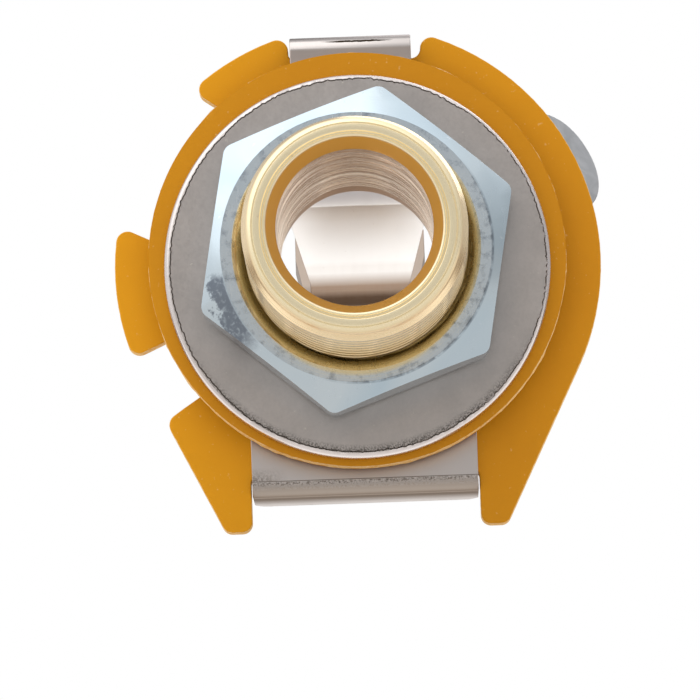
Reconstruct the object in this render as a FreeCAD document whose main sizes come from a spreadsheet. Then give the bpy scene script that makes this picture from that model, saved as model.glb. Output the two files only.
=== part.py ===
"""Quarter inch phone jack for a panel, three conductors, open frame.

The axis of the bushing lies along Y. The plug comes in from -Y and +Z is up.
The origin is on the axis, at the face of the clamp nut that the panel seats on.
Lengths are in millimetres and angles in degrees.
"""

import FreeCAD, Part
import Sketcher
import math
import os
from types import SimpleNamespace

SIZES = {
    # bushing: a turned tube with a thread in front and a flange behind
    "thread_radius": 4.75,
    "bushing_wall": 1.45,
    "lead_in_width": 0.36,
    "lead_in_depth": 0.9,
    "front_length": 6.7,
    "nose_step": 0.2,
    "nose_length": 1.0,
    "nose_round": 0.55,
    "thread_chamfer": 0.2,
    "shank_step": 0.2,
    "flange_width": 1.75,
    "flange_thick": 0.5,
    "rear_chamfer": 0.4,
    # clamp nut: a hexagon with turned corners on both faces
    "nut_thick": 2.7,
    "nut_across_flats": 12.4,
    "nut_corner_angle": 20.0,
    "nut_corner_round": 0.5,
    "nut_face_step": 0.4,
    "nut_chamfer_angle": 30.0,
    "nut_thread_gap": 0.02,
    "nut_mouth_width": 0.73,
    # steel washer, hanging on the shank by the play in its hole
    "washer_radius": 8.3,
    "washer_hole_gap": 0.2,
    "washer_thick": 1.0,
    "washer_edge_round": 0.3,
    # insulators
    "disc_radius": 9.05,
    "disc_thick": 1.0,
    "spacer_margin": 0.2,
    "spacer_thick": 0.25,
    "tube_wall": 0.5,
    "sliding_gap": 0.05,
    # notched plate with two splayed legs
    "plate_margin": 0.58,
    "plate_thick": 0.9,
    "leg_drop": 11.45,
    "leg_tip_width": 1.15,
    "leg_tip_round": 0.45,
    "leg_side_gap": 0.05,
    "prong_round": 0.5,
    "notch_left_gap": 0.08,
    "notch_right_gap": 0.4,
    "notch_round": 0.4,
    "strip_clearance": 0.55,
    "wide_slot_side_gap": 1.7,
    "narrow_slot_side_gap": 0.35,
    "slot_taper": 4.5,
    "slot_clearance": 0.4,
    # what both spring contacts share
    "contact_thick": 0.4,
    "contact_ring_width": 2.15,
    "contact_height": 9.95,
    "contact_bend": 0.6,
    "soft_bend": 1.6,
    "crest_bend": 0.9,
    # tip contact: the crest's depth is counted from the bushing's rim, and its corner,
    # which the crest's bend rounds off, sinks below the axis
    "tip_arm_width": 5.25,
    "tip_blade_width": 6.4,
    "tip_crest_width": 4.5,
    "tip_lip_width": 5.9,
    "tip_level_length": 2.2,
    "tip_crest_depth": 26.6,
    "tip_crest_sink": 1.0,
    "tip_crest_bend": 2.0,
    "tip_fold_bend": 0.6,
    "tip_ramp_run": 4.77,
    "tip_ramp_rise": 5.13,
    "tip_lip_run": 3.0,
    "tip_lip_rise": 4.8,
    # ring contact, below the axis
    "ring_arm_width": 9.75,
    "ring_crest_width": 5.0,
    "ring_level_length": 5.4,
    "ring_crest_depth": 20.2,
    "ring_crest_height": 2.5,
    "ring_lip_run": 1.5,
    "ring_lip_rise": 1.1,
    # solder tags
    "tag_standoff": 1.0,
    "tag_bend": 0.6,
    "tip_tag_angle": 150.0,
    "tip_tag_width": 3.2,
    "ring_tag_angle": 209.0,
    "ring_tag_width": 2.2,
    "signal_tag_length": 8.0,
    "signal_eyelet_radius": 0.6,
    "sleeve_ring_width": 2.4,
    "sleeve_tag_angle": 28.0,
    "sleeve_tag_width": 4.8,
    "sleeve_tag_standoff": 1.2,
    "sleeve_tag_length": 5.45,
    "sleeve_tag_fold": 50.0,
    "sleeve_eyelet_radius": 0.8,
    "sleeve_tag_thick": 0.4,
}

HEX_CORNERS = 6
FULL_TURN = 360.0
HALF_SECTOR = FULL_TURN / HEX_CORNERS / 2
# a tag's end is rounded by a little less than half of its width
TAG_END_SHARE = 0.48
TOLERANCE = 1e-4


class Size:
    """A number worked out from the sheet, with the expression that gives it."""

    def __init__(self, number, text):
        self.number = number
        self.text = text

    def __add__(self, other):
        other = as_size(other)
        return Size(self.number + other.number, f"({self.text} + {other.text})")

    def __sub__(self, other):
        other = as_size(other)
        return Size(self.number - other.number, f"({self.text} - {other.text})")

    def __mul__(self, other):
        other = as_size(other)
        return Size(self.number * other.number, f"({self.text} * {other.text})")

    def __truediv__(self, other):
        other = as_size(other)
        return Size(self.number / other.number, f"({self.text} / {other.text})")

    def __neg__(self):
        return Size(-self.number, f"(0 - {self.text})")


def as_size(value):
    return value if isinstance(value, Size) else Size(float(value), str(float(value)))


def sine(angle):
    return Size(math.sin(math.radians(angle.number)), f"sin({angle.text} * 1 deg)")


def cosine(angle):
    return Size(math.cos(math.radians(angle.number)), f"cos({angle.text} * 1 deg)")


def tangent(angle):
    return Size(math.tan(math.radians(angle.number)), f"tan({angle.text} * 1 deg)")


def arc_tangent(ratio):
    return Size(math.degrees(math.atan(ratio.number)), f"(atan({ratio.text}) / 1 deg)")


def arc_cosine(ratio):
    return Size(math.degrees(math.acos(ratio.number)), f"(acos({ratio.text}) / 1 deg)")


def square_root(value):
    return Size(math.sqrt(value.number), f"sqrt({value.text})")


ZERO = Size(0.0, "0")
SQUARE = Size(90.0, "90")

doc = FreeCAD.newDocument("phone_jack")


def fill_sheet():
    """Write each driving size into the sheet as text, and name its cell."""
    sheet = doc.addObject("Spreadsheet::Sheet", "sizes")
    for row, (name, value) in enumerate(SIZES.items(), start=1):
        sheet.set(f"A{row}", name)
        sheet.set(f"B{row}", str(value))
        sheet.setAlias(f"B{row}", name)
    doc.recompute()
    named = {name: Size(value, f"sizes.{name}") for name, value in SIZES.items()}
    return SimpleNamespace(**named)


size = fill_sheet()

# The stack, from the panel seat backwards. Each place is where a piece starts.
washer_place = size.nut_thick
disc_place = washer_place + size.washer_thick
tip_contact_place = disc_place + size.disc_thick
spacer_place = tip_contact_place + size.contact_thick
ring_contact_place = spacer_place + size.spacer_thick
plate_place = ring_contact_place + size.contact_thick
sleeve_tag_place = plate_place + size.plate_thick
flange_place = sleeve_tag_place + size.sleeve_tag_thick
bushing_end = flange_place + size.flange_thick

# Radii, from the bushing outwards.
bore_radius = size.thread_radius - size.bushing_wall
shank_radius = size.thread_radius - size.shank_step
washer_hole_radius = size.thread_radius + size.washer_hole_gap
tube_inner_radius = shank_radius + size.sliding_gap
tube_outer_radius = tube_inner_radius + size.tube_wall
stack_hole_radius = tube_outer_radius + size.sliding_gap
contact_ring_radius = stack_hole_radius + size.contact_ring_width
tag_reach = contact_ring_radius + size.tag_standoff
slot_root_radius = tag_reach - size.contact_thick - size.slot_clearance
# the plate stands a little proud of both spring arms, and clear of their inner faces
plate_radius = size.contact_height + size.plate_margin
strip_gap_height = size.contact_height - size.contact_thick - size.strip_clearance


def bind(thing, prop, value):
    thing.setExpression(prop, value.text)


def new_body(name):
    body = doc.addObject("PartDesign::Body", name)
    body.Label = name
    return body


def new_sketch(body, role, name):
    """A sketch on one of the body's own origin planes."""
    sketch = body.newObject("Sketcher::SketchObject", name)
    plane = next(f for f in body.Origin.OriginFeatures if f.Role == role)
    sketch.AttachmentSupport = [(plane, "")]
    sketch.MapMode = "FlatFace"
    return sketch


def flat(across, up):
    return FreeCAD.Vector(across.number, up.number, 0)


def pin_point(sketch, geometry, end, across, up):
    """Hold a point at a bound distance from the sketch's two axes."""
    for kind, axis, value in (("DistanceX", -2, across), ("DistanceY", -1, up)):
        if value is ZERO:
            rule = Sketcher.Constraint("PointOnObject", geometry, end, axis)
            sketch.addConstraint(rule)
            continue
        rule = Sketcher.Constraint(kind, -1, 1, geometry, end, value.number)
        index = sketch.addConstraint(rule)
        sketch.setExpression(f"Constraints[{index}]", value.text)


def add_polygon(sketch, corners):
    first = sketch.GeometryCount
    count = len(corners)
    for start, end in zip(corners, corners[1:] + corners[:1]):
        sketch.addGeometry(Part.LineSegment(flat(*start), flat(*end)), False)
    for side in range(count):
        following = first + (side + 1) % count
        joint = Sketcher.Constraint("Coincident", first + side, 2, following, 1)
        sketch.addConstraint(joint)
    for side, (across, up) in enumerate(corners):
        pin_point(sketch, first + side, 1, across, up)


def add_circle(sketch, radius, across=ZERO, up=ZERO):
    outline = Part.Circle(flat(across, up), FreeCAD.Vector(0, 0, 1), radius.number)
    index = sketch.addGeometry(outline, False)
    pin_point(sketch, index, 3, across, up)
    rule = sketch.addConstraint(Sketcher.Constraint("Radius", index, radius.number))
    sketch.setExpression(f"Constraints[{rule}]", radius.text)


def add_bent_line(sketch, corners, radii):
    """An open line through the corners, with a tangent arc at each inner one."""
    points = [flat(*corner) for corner in corners]
    starts, ends, arcs = [points[0]], [], []
    for before, corner, after, radius in zip(points, points[1:], points[2:], radii):
        incoming = (corner - before).normalize()
        outgoing = (after - corner).normalize()
        turn = incoming.getAngle(outgoing)
        left = incoming.cross(outgoing).z > 0
        setback = radius.number * math.tan(turn / 2)
        arc_start = corner - incoming * setback
        arc_end = corner + outgoing * setback
        side = FreeCAD.Vector(-incoming.y, incoming.x, 0) * (1 if left else -1)
        centre = arc_start + side * radius.number
        first, last = (arc_start, arc_end) if left else (arc_end, arc_start)
        angles = [math.atan2(p.y - centre.y, p.x - centre.x) for p in (first, last)]
        whole = Part.Circle(centre, FreeCAD.Vector(0, 0, 1), radius.number)
        arcs.append((Part.ArcOfCircle(whole, *angles), left))
        ends.append(arc_start)
        starts.append(arc_end)
    ends.append(points[-1])
    lines = []
    for start, end in zip(starts, ends):
        lines.append(sketch.addGeometry(Part.LineSegment(start, end), False))
    for place, (arc, left) in enumerate(arcs):
        bend = sketch.addGeometry(arc, False)
        entry, leave = (1, 2) if left else (2, 1)
        before, after = lines[place], lines[place + 1]
        sketch.addConstraint(Sketcher.Constraint("Tangent", before, 2, bend, entry))
        sketch.addConstraint(Sketcher.Constraint("Tangent", bend, leave, after, 1))
        number = radii[place].number
        rule = sketch.addConstraint(Sketcher.Constraint("Radius", bend, number))
        sketch.setExpression(f"Constraints[{rule}]", radii[place].text)
        mark = sketch.addGeometry(Part.Point(points[place + 1]), True)
        pin_point(sketch, mark, 1, *corners[place + 1])
        sketch.addConstraint(Sketcher.Constraint("PointOnObject", mark, 1, before))
        sketch.addConstraint(Sketcher.Constraint("PointOnObject", mark, 1, after))
    pin_point(sketch, lines[0], 1, *corners[0])
    pin_point(sketch, lines[-1], 2, *corners[-1])


def revolve(body, name, profile):
    """Turn a profile of (radius, place along Y) corners about the Y axis."""
    sketch = new_sketch(body, "XY_Plane", f"{name}_profile")
    add_polygon(sketch, profile)
    turned = body.newObject("PartDesign::Revolution", name)
    turned.Profile = sketch
    turned.ReferenceAxis = (sketch, ["V_Axis"])
    turned.Angle = FULL_TURN
    doc.recompute()
    return turned


def groove(body, name, profile):
    """Cut a profile of (radius, place along Y) corners round the Y axis."""
    sketch = new_sketch(body, "XY_Plane", f"{name}_profile")
    add_polygon(sketch, profile)
    cut = body.newObject("PartDesign::Groove", name)
    cut.Profile = sketch
    cut.ReferenceAxis = (sketch, ["V_Axis"])
    cut.Angle = FULL_TURN
    doc.recompute()
    return cut


def pad_back(body, name, sketch, thickness):
    """Give an outline in the XZ plane its thickness, from Y = 0 backwards."""
    pad = body.newObject("PartDesign::Pad", name)
    pad.Profile = sketch
    pad.Reversed = True
    bind(pad, "Length", thickness)
    doc.recompute()
    return pad


def pocket_through(body, name, sketch):
    pocket = body.newObject("PartDesign::Pocket", name)
    pocket.Profile = sketch
    pocket.Type = "ThroughAll"
    pocket.Midplane = True
    doc.recompute()
    return pocket


def round_edges(body, name, radius, wanted):
    """Round the edges of the body's last feature that pass the test."""
    base = body.Tip
    found = [
        f"Edge{number}"
        for number, edge in enumerate(base.Shape.Edges, start=1)
        if wanted(edge)
    ]
    if not found:
        raise RuntimeError(f"{name} finds no edge to round")
    fillet = body.newObject("PartDesign::Fillet", name)
    fillet.Base = (base, found)
    bind(fillet, "Radius", radius)
    doc.recompute()
    return fillet


def near(first, second):
    return abs(first - second) < TOLERANCE


def middle_of(edge):
    return edge.valueAt((edge.FirstParameter + edge.LastParameter) / 2)


def along_y(edge):
    start, end = edge.firstVertex().Point, edge.lastVertex().Point
    return near(start.x, end.x) and near(start.z, end.z) and not near(start.y, end.y)


def circle_at(radius, place):
    """A test for a round edge of that radius at that place along Y."""

    def wanted(edge):
        centre = getattr(edge.Curve, "Center", None)
        if centre is None:
            return False
        return near(edge.Curve.Radius, radius.number) and near(centre.y, place.number)

    return wanted


def place_back(thing, place):
    bind(thing, "Placement.Base.y", place)


def make_bushing():
    front = -size.front_length
    nose_end = front + size.nose_length
    thread_start = nose_end + size.thread_chamfer
    nose_radius = size.thread_radius - size.nose_step
    flange_radius = shank_radius + size.flange_width
    body = new_body("bushing")
    profile = [
        (bore_radius + size.lead_in_width, front),
        (nose_radius, front),
        (nose_radius, nose_end),
        (size.thread_radius, thread_start),
        (size.thread_radius, ZERO),
        (shank_radius, ZERO),
        (shank_radius, flange_place),
        (flange_radius, flange_place),
        (flange_radius, bushing_end),
        (bore_radius + size.rear_chamfer, bushing_end),
        (bore_radius, bushing_end - size.rear_chamfer),
        (bore_radius, front + size.lead_in_depth),
    ]
    revolve(body, "bushing_turned", profile)
    rim = circle_at(nose_radius, front)
    round_edges(body, "bushing_nose", size.nose_round, rim)
    return body


def make_clamp_nut():
    body = new_body("clamp_nut")
    corner_radius = size.nut_across_flats / 2 / cosine(as_size(HALF_SECTOR))
    corners = []
    for corner in range(HEX_CORNERS):
        angle = size.nut_corner_angle + corner * FULL_TURN / HEX_CORNERS
        corners.append((corner_radius * cosine(angle), corner_radius * sine(angle)))
    outline = new_sketch(body, "XZ_Plane", "nut_outline")
    add_polygon(outline, corners)
    pad_back(body, "nut_hexagon", outline, size.nut_thick)
    round_edges(body, "nut_corners", size.nut_corner_round, along_y)

    bore = shank_radius + size.nut_thread_gap
    face_radius = size.nut_across_flats / 2 - size.nut_face_step
    clear = corner_radius + size.nut_corner_round
    slope = (clear - face_radius) * tangent(size.nut_chamfer_angle)
    for side, face, slope_end, mouth_end in (
        ("front", ZERO, slope, size.nut_mouth_width),
        ("back", size.nut_thick, size.nut_thick - slope, size.nut_thick - size.nut_mouth_width),
    ):
        chamfer = [(face_radius, face), (clear, face), (clear, slope_end)]
        groove(body, f"nut_{side}_chamfer", chamfer)
        mouth = [
            (ZERO, face),
            (bore + size.nut_mouth_width, face),
            (bore, mouth_end),
            (ZERO, mouth_end),
        ]
        groove(body, f"nut_{side}_mouth", mouth)
    hole = new_sketch(body, "XZ_Plane", "nut_hole")
    add_circle(hole, bore)
    pocket_through(body, "nut_bore", hole)
    return body


def make_front_washer():
    body = new_body("front_washer")
    # the rolled front edge is two flats that follow its round
    edge = size.washer_edge_round
    inset = edge - edge * cosine(SQUARE / 2)
    profile = [
        (washer_hole_radius, ZERO),
        (size.washer_radius - edge, ZERO),
        (size.washer_radius - inset, inset),
        (size.washer_radius, edge),
        (size.washer_radius, size.washer_thick),
        (washer_hole_radius, size.washer_thick),
    ]
    revolve(body, "washer_ring", profile)
    place_back(body, washer_place)
    bind(body, "Placement.Base.z", shank_radius - washer_hole_radius)
    return body


def make_ring(name, inner, outer, thickness, place):
    """A plain flat ring or tube, from its place backwards."""
    body = new_body(name)
    profile = [(inner, ZERO), (outer, ZERO), (outer, thickness), (inner, thickness)]
    revolve(body, f"{name}_ring", profile)
    place_back(body, place)
    return body


def slot_corners(angle, width):
    """A slot from outside the plate to its root, a little narrower inwards."""
    outside = plate_radius + size.notch_round
    depth = outside - slot_root_radius
    narrowing = depth * tangent(size.slot_taper)
    half_mouth = width / 2 + narrowing / 2
    half_root = width / 2 - narrowing / 2
    corners = []
    for distance, half in (
        (outside, half_mouth),
        (slot_root_radius, half_root),
        (slot_root_radius, -half_root),
        (outside, -half_mouth),
    ):
        across = distance * cosine(angle) - half * sine(angle)
        up = distance * sine(angle) + half * cosine(angle)
        corners.append((across, up))
    return corners


def make_notched_insulator():
    body = new_body("notched_insulator")
    disc = new_sketch(body, "XZ_Plane", "plate_disc_outline")
    add_circle(disc, plate_radius)
    pad_back(body, "plate_disc", disc, size.plate_thick)

    # each leg's outer edge runs from its tip to the disc, along the disc's tangent
    bottom = -size.leg_drop
    half_gap = size.ring_arm_width / 2 + size.leg_side_gap
    tip_across = half_gap + size.leg_tip_width
    tip_distance = square_root(tip_across * tip_across + size.leg_drop * size.leg_drop)
    tip_below = arc_tangent(size.leg_drop / tip_across)
    splay = tip_below - arc_cosine(plate_radius / tip_distance)
    shoulder_across = plate_radius * cosine(splay)
    shoulder_up = -(plate_radius * sine(splay))
    legs = new_sketch(body, "XZ_Plane", "plate_legs_outline")
    leg_corners = [
        (shoulder_across, shoulder_up),
        (tip_across, bottom),
        (-tip_across, bottom),
        (-shoulder_across, shoulder_up),
    ]
    add_polygon(legs, leg_corners)
    pad_back(body, "plate_legs", legs, size.plate_thick)

    gap_floor = bottom - size.notch_round
    gap = new_sketch(body, "XZ_Plane", "leg_gap_outline")
    gap_corners = [
        (half_gap, -strip_gap_height),
        (half_gap, gap_floor),
        (-half_gap, gap_floor),
        (-half_gap, -strip_gap_height),
    ]
    add_polygon(gap, gap_corners)
    pocket_through(body, "leg_gap", gap)

    half_arm = size.tip_arm_width / 2
    notch_right = half_arm + size.notch_right_gap
    notch_left = -(half_arm + size.notch_left_gap)
    notch_top = plate_radius + size.notch_round
    notch = new_sketch(body, "XZ_Plane", "top_notch_outline")
    notch_corners = [
        (notch_right, strip_gap_height),
        (notch_right, notch_top),
        (notch_left, notch_top),
        (notch_left, strip_gap_height),
    ]
    add_polygon(notch, notch_corners)
    pocket_through(body, "top_notch", notch)

    wide = size.tip_tag_width + size.wide_slot_side_gap * 2
    narrow = size.ring_tag_width + size.narrow_slot_side_gap * 2
    for name, angle, width in (
        ("wide_slot", size.tip_tag_angle, wide),
        ("narrow_slot", size.ring_tag_angle, narrow),
    ):
        slot = new_sketch(body, "XZ_Plane", f"{name}_outline")
        add_polygon(slot, slot_corners(angle, width))
        pocket_through(body, name, slot)

    hole = new_sketch(body, "XZ_Plane", "plate_hole_outline")
    add_circle(hole, stack_hole_radius)
    pocket_through(body, "plate_hole", hole)

    def leg_tip(edge):
        point = middle_of(edge)
        return along_y(edge) and near(point.z, bottom.number)

    def inner_corner(edge):
        point = middle_of(edge)
        return along_y(edge) and near(abs(point.z), strip_gap_height.number)

    def prong_corner(edge):
        point = middle_of(edge)
        on_rim = math.hypot(point.x, point.z) > plate_radius.number - TOLERANCE
        at_shoulder = near(abs(point.x), shoulder_across.number)
        return along_y(edge) and on_rim and not at_shoulder and not leg_tip(edge)

    round_edges(body, "prong_corners", size.prong_round, prong_corner)
    round_edges(body, "leg_tips", size.leg_tip_round, leg_tip)
    round_edges(body, "notch_corners", size.notch_round, inner_corner)
    place_back(body, plate_place)
    return body


def sweep_strip(body, name, width, thickness, start, corners, radii):
    """Sweep a flat section, which starts level at the height start, along the bends."""
    path = new_sketch(body, "YZ_Plane", f"{name}_path")
    add_bent_line(path, corners, radii)
    section = new_sketch(body, "XY_Plane", f"{name}_section")
    half = width / 2
    corners_of_section = [
        (half, ZERO),
        (half, thickness),
        (-half, thickness),
        (-half, ZERO),
    ]
    add_polygon(section, corners_of_section)
    bind(section, "AttachmentOffset.Base.z", start)
    doc.recompute()
    strip = body.newObject("PartDesign::AdditivePipe", name)
    strip.Profile = section
    strip.Spine = path
    doc.recompute()
    return strip


def trim_sides(body, name, stations, clear):
    """Cut a strip to a width that changes along Y, the same on both sides."""
    for side, sign in (("right", 1), ("left", -1)):
        plan = new_sketch(body, "XY_Plane", f"{name}_{side}_outline")
        inner = [(half if sign > 0 else -half, place) for half, place in stations]
        edge = clear if sign > 0 else -clear
        outer = [(edge, stations[-1][1]), (edge, stations[0][1])]
        add_polygon(plan, inner + outer)
        pocket_through(body, f"{name}_{side}", plan)


def add_contact_ring(body, name):
    ring = new_sketch(body, "XZ_Plane", f"{name}_outline")
    add_circle(ring, contact_ring_radius)
    add_circle(ring, stack_hole_radius)
    pad_back(body, name, ring, size.contact_thick)


def make_tag(name, width, thickness, root, reach, length, fold, eyelet, angle):
    """A solder tag that leaves a ring at the angle and folds back by the fold."""
    body = new_body(name)
    half_thick = thickness / 2
    knee = reach - half_thick
    corners = [
        (half_thick, root),
        (half_thick, knee),
        (half_thick + length * sine(fold), knee + length * cosine(fold)),
    ]
    sweep_strip(body, f"{name}_strip", width, thickness, root, corners, [size.tag_bend])

    end_y, end_z = corners[-1]

    def tag_end(edge):
        point = middle_of(edge)
        at_side = near(abs(point.x), width.number / 2)
        at_end = near(point.y, end_y.number) and near(point.z, end_z.number)
        return at_side and at_end

    round_edges(body, f"{name}_end", width * TAG_END_SHARE, tag_end)

    hole = new_sketch(body, "XY_Plane", f"{name}_eyelet_outline")
    add_circle(hole, eyelet, ZERO, length - width / 2)
    lean = SQUARE - fold
    turned = FreeCAD.Rotation(FreeCAD.Vector(1, 0, 0), lean.number)
    corner_place = FreeCAD.Vector(0, half_thick.number, knee.number)
    hole.AttachmentOffset = FreeCAD.Placement(corner_place, turned)
    bind(hole, "AttachmentOffset.Base.y", half_thick)
    bind(hole, "AttachmentOffset.Base.z", knee)
    bind(hole, "AttachmentOffset.Rotation.Angle", lean)
    pocket_through(body, f"{name}_eyelet", hole)

    from_top = SQUARE - angle
    about_axis = FreeCAD.Rotation(FreeCAD.Vector(0, 1, 0), from_top.number)
    body.Placement = FreeCAD.Placement(FreeCAD.Vector(), about_axis)
    bind(body, "Placement.Rotation.Angle", from_top)
    return body


def join(name, pieces, place):
    """One stamped part from the ring and spring, and the tag on the same ring."""
    whole = doc.addObject("Part::MultiFuse", name)
    whole.Label = name
    whole.Shapes = pieces
    whole.Refine = True
    place_back(whole, place)
    doc.recompute()
    return whole


def make_tip_contact():
    half_thick = size.contact_thick / 2
    level = size.contact_height - half_thick
    # a depth behind the rim becomes a place behind the ring's front face
    ring_depth = size.front_length + tip_contact_place
    crest_place = size.tip_crest_depth - ring_depth
    ramp_place = crest_place - size.tip_ramp_run
    lip_place = crest_place + size.tip_lip_run
    root = stack_hole_radius + half_thick
    corners = [
        (half_thick, root),
        (half_thick, level),
        (size.tip_level_length, level),
        (ramp_place, size.tip_ramp_rise - size.tip_crest_sink),
        (crest_place, -size.tip_crest_sink),
        (lip_place, size.tip_lip_rise - size.tip_crest_sink),
    ]
    bend = size.contact_bend - half_thick
    radii = [bend, size.soft_bend, size.tip_fold_bend, size.tip_crest_bend]
    body = new_body("tip_spring_blank")
    thick = size.contact_thick
    sweep_strip(body, "tip_strip", size.tip_blade_width, thick, root, corners, radii)
    half_arm = size.tip_arm_width / 2
    half_blade = size.tip_blade_width / 2
    stations = [
        (half_arm, -half_thick),
        (half_arm, size.tip_level_length + size.soft_bend),
        (half_blade, ramp_place - size.soft_bend),
        (half_blade, ramp_place),
        (size.tip_crest_width / 2, crest_place - size.tip_crest_bend),
        (size.tip_crest_width / 2, crest_place),
        (size.tip_lip_width / 2, crest_place + size.tip_crest_bend),
        (size.tip_lip_width / 2, lip_place + half_blade),
    ]
    trim_sides(body, "tip_trim", stations, size.tip_blade_width)
    add_contact_ring(body, "tip_ring")
    tag = make_tag(
        "tip_tag_blank",
        size.tip_tag_width,
        thick,
        root,
        tag_reach,
        size.signal_tag_length,
        SQUARE,
        size.signal_eyelet_radius,
        size.tip_tag_angle,
    )
    return join("tip_contact", [body, tag], tip_contact_place)


def make_ring_contact():
    half_thick = size.contact_thick / 2
    level = size.contact_height - half_thick
    ring_depth = size.front_length + ring_contact_place
    crest_place = size.ring_crest_depth - ring_depth
    lip_place = crest_place + size.ring_lip_run
    crest_height = size.ring_crest_height + half_thick
    root = stack_hole_radius + half_thick
    corners = [
        (half_thick, -root),
        (half_thick, -level),
        (size.ring_level_length, -level),
        (crest_place, -crest_height),
        (lip_place, -(crest_height + size.ring_lip_rise)),
    ]
    bend = size.contact_bend - half_thick
    radii = [bend, size.soft_bend, size.crest_bend]
    body = new_body("ring_spring_blank")
    thick = size.contact_thick
    sweep_strip(body, "ring_strip", size.ring_arm_width, thick, -root, corners, radii)
    half_arm = size.ring_arm_width / 2
    stations = [
        (half_arm, size.ring_level_length - size.soft_bend),
        (size.ring_crest_width / 2, crest_place - size.crest_bend / 2),
        (size.ring_crest_width / 2, lip_place + half_arm),
    ]
    trim_sides(body, "ring_trim", stations, size.ring_arm_width)
    add_contact_ring(body, "ring_ring")
    tag = make_tag(
        "ring_tag_blank",
        size.ring_tag_width,
        thick,
        root,
        tag_reach,
        size.signal_tag_length,
        SQUARE,
        size.signal_eyelet_radius,
        size.ring_tag_angle,
    )
    return join("ring_contact", [body, tag], ring_contact_place)


def make_sleeve_tag():
    thick = size.sleeve_tag_thick
    ring_inner = shank_radius + size.sliding_gap
    ring_outer = ring_inner + size.sleeve_ring_width
    body = new_body("sleeve_ring_blank")
    outline = new_sketch(body, "XZ_Plane", "sleeve_ring_outline")
    add_circle(outline, ring_outer)
    add_circle(outline, ring_inner)
    pad_back(body, "sleeve_ring", outline, thick)
    tag = make_tag(
        "sleeve_tag_blank",
        size.sleeve_tag_width,
        thick,
        ring_inner + thick,
        ring_outer + size.sleeve_tag_standoff,
        size.sleeve_tag_length,
        size.sleeve_tag_fold,
        size.sleeve_eyelet_radius,
        size.sleeve_tag_angle,
    )
    return join("sleeve_tag", [body, tag], sleeve_tag_place)


def check_document():
    """Stop if any object failed, or if a shape in the model is not sound."""
    for thing in doc.Objects:
        if "Invalid" in thing.State or "Error" in thing.State:
            raise RuntimeError(f"{thing.Name} has failed: {thing.State}")


def export(pieces):
    os.makedirs("parts", exist_ok=True)
    for piece in pieces:
        shape = piece.Shape
        if shape.isNull() or not shape.isValid() or len(shape.Solids) != 1:
            raise RuntimeError(f"{piece.Label} is not one sound solid")
    for piece in pieces:
        piece.Shape.exportStep(f"parts/{piece.Label}.step")
        print(piece.Label, round(piece.Shape.Volume, 3))


def make_front_insulator():
    inner, outer = stack_hole_radius, size.disc_radius
    return make_ring("front_insulator", inner, outer, size.disc_thick, disc_place)


def make_insulating_tube():
    inner, outer = tube_inner_radius, tube_outer_radius
    length = sleeve_tag_place - disc_place
    return make_ring("insulating_tube", inner, outer, length, disc_place)


def make_contact_spacer():
    inner, outer = stack_hole_radius, contact_ring_radius + size.spacer_margin
    return make_ring("contact_spacer", inner, outer, size.spacer_thick, spacer_place)


pieces = [
    make_bushing(),
    make_clamp_nut(),
    make_front_washer(),
    make_front_insulator(),
    make_insulating_tube(),
    make_tip_contact(),
    make_contact_spacer(),
    make_ring_contact(),
    make_notched_insulator(),
    make_sleeve_tag(),
]
doc.recompute()
check_document()
export(pieces)
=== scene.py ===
"""Quarter inch phone jack seen from the plug's side: a threaded gold bushing, a zinc clamp nut, a nickel
washer, an amber disc and an amber notched plate, and the sprung tip and ring contacts behind them."""

import math
import random

import bmesh
import bpy
from mathutils import Matrix, Vector, noise


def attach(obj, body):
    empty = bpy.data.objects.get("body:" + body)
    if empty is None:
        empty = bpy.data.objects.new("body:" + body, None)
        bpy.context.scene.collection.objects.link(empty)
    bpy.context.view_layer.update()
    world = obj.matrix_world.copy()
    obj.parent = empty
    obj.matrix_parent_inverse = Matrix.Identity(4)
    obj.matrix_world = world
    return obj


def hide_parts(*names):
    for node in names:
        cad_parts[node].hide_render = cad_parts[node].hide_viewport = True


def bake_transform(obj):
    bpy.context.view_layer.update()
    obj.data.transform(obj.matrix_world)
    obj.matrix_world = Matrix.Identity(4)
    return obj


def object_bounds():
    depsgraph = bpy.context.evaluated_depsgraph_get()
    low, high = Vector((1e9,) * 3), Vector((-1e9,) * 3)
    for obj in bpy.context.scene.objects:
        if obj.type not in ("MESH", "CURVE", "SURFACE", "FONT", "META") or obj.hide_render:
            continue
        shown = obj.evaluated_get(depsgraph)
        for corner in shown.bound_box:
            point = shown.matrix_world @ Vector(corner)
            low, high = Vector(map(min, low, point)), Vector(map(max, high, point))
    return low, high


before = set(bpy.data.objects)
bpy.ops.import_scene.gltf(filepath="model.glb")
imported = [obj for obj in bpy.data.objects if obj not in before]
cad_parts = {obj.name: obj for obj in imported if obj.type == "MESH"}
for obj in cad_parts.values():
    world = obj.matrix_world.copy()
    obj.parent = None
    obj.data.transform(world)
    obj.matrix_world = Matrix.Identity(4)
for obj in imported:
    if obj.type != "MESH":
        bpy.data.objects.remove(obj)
CAD_BOX = [list(corner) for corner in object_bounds()]

bl_info = {
    "name": "Phone jack dresser",
    "version": (1, 0, 0),
    "blender": (4, 5, 0),
    "location": "3D View > Sidebar > Phone jack",
    "description": "Dresses the packed phone jack with its thread, cut edges, finishes and studio",
    "category": "Object",
}

MM = 0.001
FULL_TURN = 2 * math.pi
SENSOR_WIDTH = 36.0

# places along the bushing's axis, in millimetres behind the panel seat
MOUTH = -6.7
LEAD_IN_TO = -5.8
THREAD_FROM = -5.5
THREAD_TO = 0.9
BORE_RING = 1.1
RELIEF_FROM = 4.7
RELIEF_TO = 7.22
FLANGE_FRONT = 7.05
REAR_END = 7.55

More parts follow.
